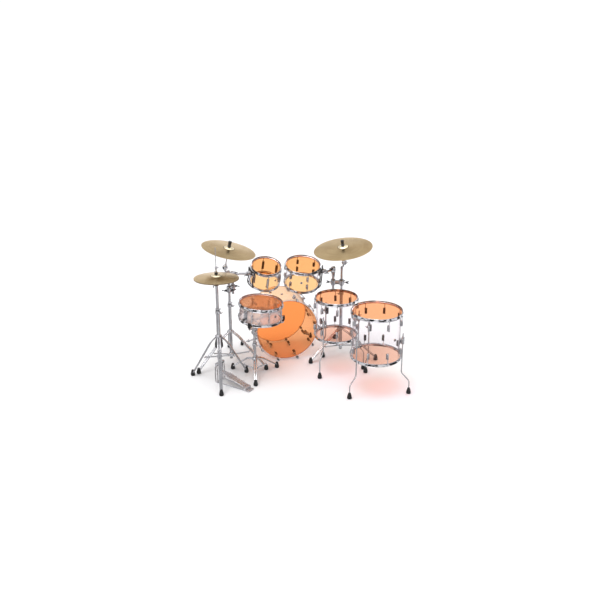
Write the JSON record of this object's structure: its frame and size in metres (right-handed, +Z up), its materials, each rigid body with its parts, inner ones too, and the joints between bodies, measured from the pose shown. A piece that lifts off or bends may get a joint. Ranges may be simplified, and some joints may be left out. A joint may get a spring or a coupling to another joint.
{
  "type": "acoustic drum kit",
  "caption": "Drum kit with clear shells and translucent heads: bass drum, rack toms, floor toms, snare, hi-hat, crash and ride cymbals on double-braced tripod stands",
  "frame": {"origin": "centre of the bounding box in plan, on the floor", "axes": "+Z up; the bass drum axis is +Y, towards the audience; +X is to the right of the player, who sits on the -Y side"},
  "size_m": [1.7617, 1.4128, 1.232],
  "materials": {
    "clear_acrylic": "clear polished acrylic",
    "orange_film": "coated translucent film",
    "amber_film": "coated amber film",
    "pale_film": "clear film",
    "chrome": "bright chrome plate",
    "black_plastic": "satin",
    "bronze": "lathed and polished bronze",
    "steel": "satin"
  },
  "bodies": {
    "kit": {"bass_batter_head": "orange_film", "bass_batter_hoop": "chrome", "bass_front_head": "pale_film", "bass_front_hoop": "chrome", "bass_shell": "clear_acrylic", "crash_stand_base": "chrome", "floor14_batter_head": "orange_film", "floor14_batter_hoop": "chrome", "floor14_bottom_head": "pale_film", "floor14_bottom_hoop": "chrome", "floor14_shell": "clear_acrylic", "floor16_batter_head": "orange_film", "floor16_batter_hoop": "chrome", "floor16_bottom_head": "pale_film", "floor16_bottom_hoop": "chrome", "floor16_shell": "clear_acrylic", "hihat_base": "chrome", "ride_stand_base": "chrome", "snare_stand_base": "chrome"},
    "bass_spur_left": {"bass_spur_left": "chrome"},
    "bass_spur_right": {"bass_spur_right": "chrome"},
    "floor14_leg_a": {"floor14_leg_a": "chrome"},
    "floor14_leg_b": {"floor14_leg_b": "chrome"},
    "floor14_leg_c": {"floor14_leg_c": "chrome"},
    "floor16_leg_a": {"floor16_leg_a": "chrome"},
    "floor16_leg_b": {"floor16_leg_b": "chrome"},
    "floor16_leg_c": {"floor16_leg_c": "chrome"},
    "crash_post": {"crash_stand_post": "chrome"},
    "crash_tilter": {"crash_tilter": "chrome"},
    "crash_cymbal": {"crash_cymbal": "bronze"},
    "ride_post": {"ride_stand_post": "chrome"},
    "ride_tilter": {"ride_tilter": "chrome"},
    "ride_cymbal": {"ride_cymbal": "bronze"},
    "tom10_arm": {"tom10_arm": "chrome"},
    "tom10": {"tom10_batter_head": "orange_film", "tom10_bottom_head": "pale_film", "tom10_hoops": "chrome", "tom10_mount": "black_plastic", "tom10_shell": "clear_acrylic"},
    "tom12_arm": {"tom12_arm": "chrome"},
    "tom12": {"tom12_batter_head": "orange_film", "tom12_batter_hoop": "chrome", "tom12_bottom_head": "pale_film", "tom12_bottom_hoop": "chrome", "tom12_mount": "black_plastic", "tom12_shell": "clear_acrylic"},
    "snare_post": {"snare_stand_post": "chrome"},
    "snare": {"snare_basket": "black_plastic", "snare_shell": "clear_acrylic", "snare_batter_head": "amber_film", "snare_bottom_head": "pale_film", "snare_hoops": "chrome", "snare_wires": "steel"},
    "snare_strainer_lever": {"snare_strainer_lever": "chrome"},
    "hihat_tube": {"hihat_tube": "chrome", "hihat_bottom_cymbal": "bronze"},
    "hihat_rod": {"hihat_rod": "chrome"},
    "hihat_clutch": {"hihat_clutch": "chrome", "hihat_top_cymbal": "bronze"},
    "hihat_footboard": {"hihat_footboard": "steel"}
  },
  "joints": [
    {"name": "bass_spur_left_fold", "type": "hinge", "parent": "kit", "child": "bass_spur_left", "pos_m": [-0.21799, 0.51444, 0.13201], "axis": [-0.8387, 0, -0.5446], "range_deg": [-75, 0]},
    {"name": "bass_spur_right_fold", "type": "hinge", "parent": "kit", "child": "bass_spur_right", "pos_m": [0.29259, 0.51444, 0.13201], "axis": [0.8387, 0, -0.5446], "range_deg": [0, 75]},
    {"name": "floor14_leg_a_height", "type": "slide", "parent": "kit", "child": "floor14_leg_a", "axis": [0, 0, 1], "range_m": [0, 0.12]},
    {"name": "floor14_leg_b_height", "type": "slide", "parent": "kit", "child": "floor14_leg_b", "axis": [0, 0, 1], "range_m": [0, 0.12]},
    {"name": "floor14_leg_c_height", "type": "slide", "parent": "kit", "child": "floor14_leg_c", "axis": [0, 0, 1], "range_m": [0, 0.12]},
    {"name": "floor16_leg_a_height", "type": "slide", "parent": "kit", "child": "floor16_leg_a", "axis": [0, 0, 1], "range_m": [0, 0.12]},
    {"name": "floor16_leg_b_height", "type": "slide", "parent": "kit", "child": "floor16_leg_b", "axis": [0, 0, 1], "range_m": [0, 0.12]},
    {"name": "floor16_leg_c_height", "type": "slide", "parent": "kit", "child": "floor16_leg_c", "axis": [0, 0, 1], "range_m": [0, 0.12]},
    {"name": "crash_height", "type": "slide", "parent": "kit", "child": "crash_post", "axis": [0, 0, 1], "range_m": [0, 0.12]},
    {"name": "crash_tilt", "type": "hinge", "parent": "crash_post", "child": "crash_tilter", "pos_m": [-0.51128, 0.33249, 0.93889], "axis": [0.2693, 0.9631, 0], "range_deg": [-25, 10]},
    {"name": "crash_spin", "type": "hinge", "parent": "crash_tilter", "child": "crash_cymbal", "pos_m": [-0.4757, 0.3296, 1.095], "axis": [0.2109, -0.059, 0.9757], "continuous": true},
    {"name": "ride_height", "type": "slide", "parent": "kit", "child": "ride_post", "axis": [0, 0, 1], "range_m": [0, 0.12]},
    {"name": "ride_tilt", "type": "hinge", "parent": "ride_post", "child": "ride_tilter", "pos_m": [0.57429, 0.26931, 0.90654], "axis": [0.2519, -0.9678, 0], "range_deg": [-25, 10]},
    {"name": "ride_spin", "type": "hinge", "parent": "ride_tilter", "child": "ride_cymbal", "pos_m": [0.5563, 0.2576, 1.04], "axis": [-0.1459, -0.038, 0.9886], "continuous": true},
    {"name": "tom10_arm_swivel", "type": "hinge", "parent": "crash_post", "child": "tom10_arm", "pos_m": [-0.4417, 0.3636, 0.672], "axis": [0, 0, 1], "range_deg": [-6, 22]},
    {"name": "tom10_tilt", "type": "hinge", "parent": "tom10_arm", "child": "tom10", "pos_m": [-0.28492, 0.4132, 0.83683], "axis": [-0.9606, -0.2714, -0.0592], "range_deg": [-12, 12]},
    {"name": "tom12_arm_swivel", "type": "hinge", "parent": "ride_post", "child": "tom12_arm", "pos_m": [0.4763, 0.2876, 0.656], "axis": [0, 0, 1], "range_deg": [-22, 6]},
    {"name": "tom12_tilt", "type": "hinge", "parent": "tom12_arm", "child": "tom12", "pos_m": [0.42261, 0.38954, 0.79818], "axis": [0.866, -0.4861, -0.117], "range_deg": [-10, 10]},
    {"name": "snare_height", "type": "slide", "parent": "kit", "child": "snare_post", "axis": [0, 0, 1], "range_m": [0, 0.1]},
    {"name": "snare_tilt", "type": "hinge", "parent": "snare_post", "child": "snare", "pos_m": [-0.3197, 0.0596, 0.43], "axis": [0.8253, 0.5647, 0], "range_deg": [-8, 12]},
    {"name": "snare_strainer", "type": "hinge", "parent": "snare", "child": "snare_strainer_lever", "pos_m": [-0.43854, -0.1093, 0.67143], "axis": [-0.5291, 0.8465, 0.0588], "range_deg": [0, 70]},
    {"name": "hihat_height", "type": "slide", "parent": "kit", "child": "hihat_tube", "axis": [0, 0, 1], "range_m": [0, 0.1]},
    {"name": "hihat_rod_pull", "type": "slide", "parent": "hihat_tube", "child": "hihat_rod", "axis": [0, 0, 1], "range_m": [-0.0066, 0]},
    {"name": "hihat_clutch_height", "type": "slide", "parent": "hihat_rod", "child": "hihat_clutch", "axis": [0, 0, 1], "range_m": [0, 0.06]},
    {"name": "hihat_pedal", "type": "hinge", "parent": "kit", "child": "hihat_footboard", "pos_m": [-0.45286, -0.22221, 0.024], "axis": [-0.766, -0.6428, 0], "range_deg": [0, 1.35], "stiffness_Nm_per_rad": 20, "springref_deg": -28.65}
  ],
  "couplings": [
    {"joint": "hihat_rod_pull", "follows": "hihat_pedal", "m_per_rad": -0.275}
  ]
}
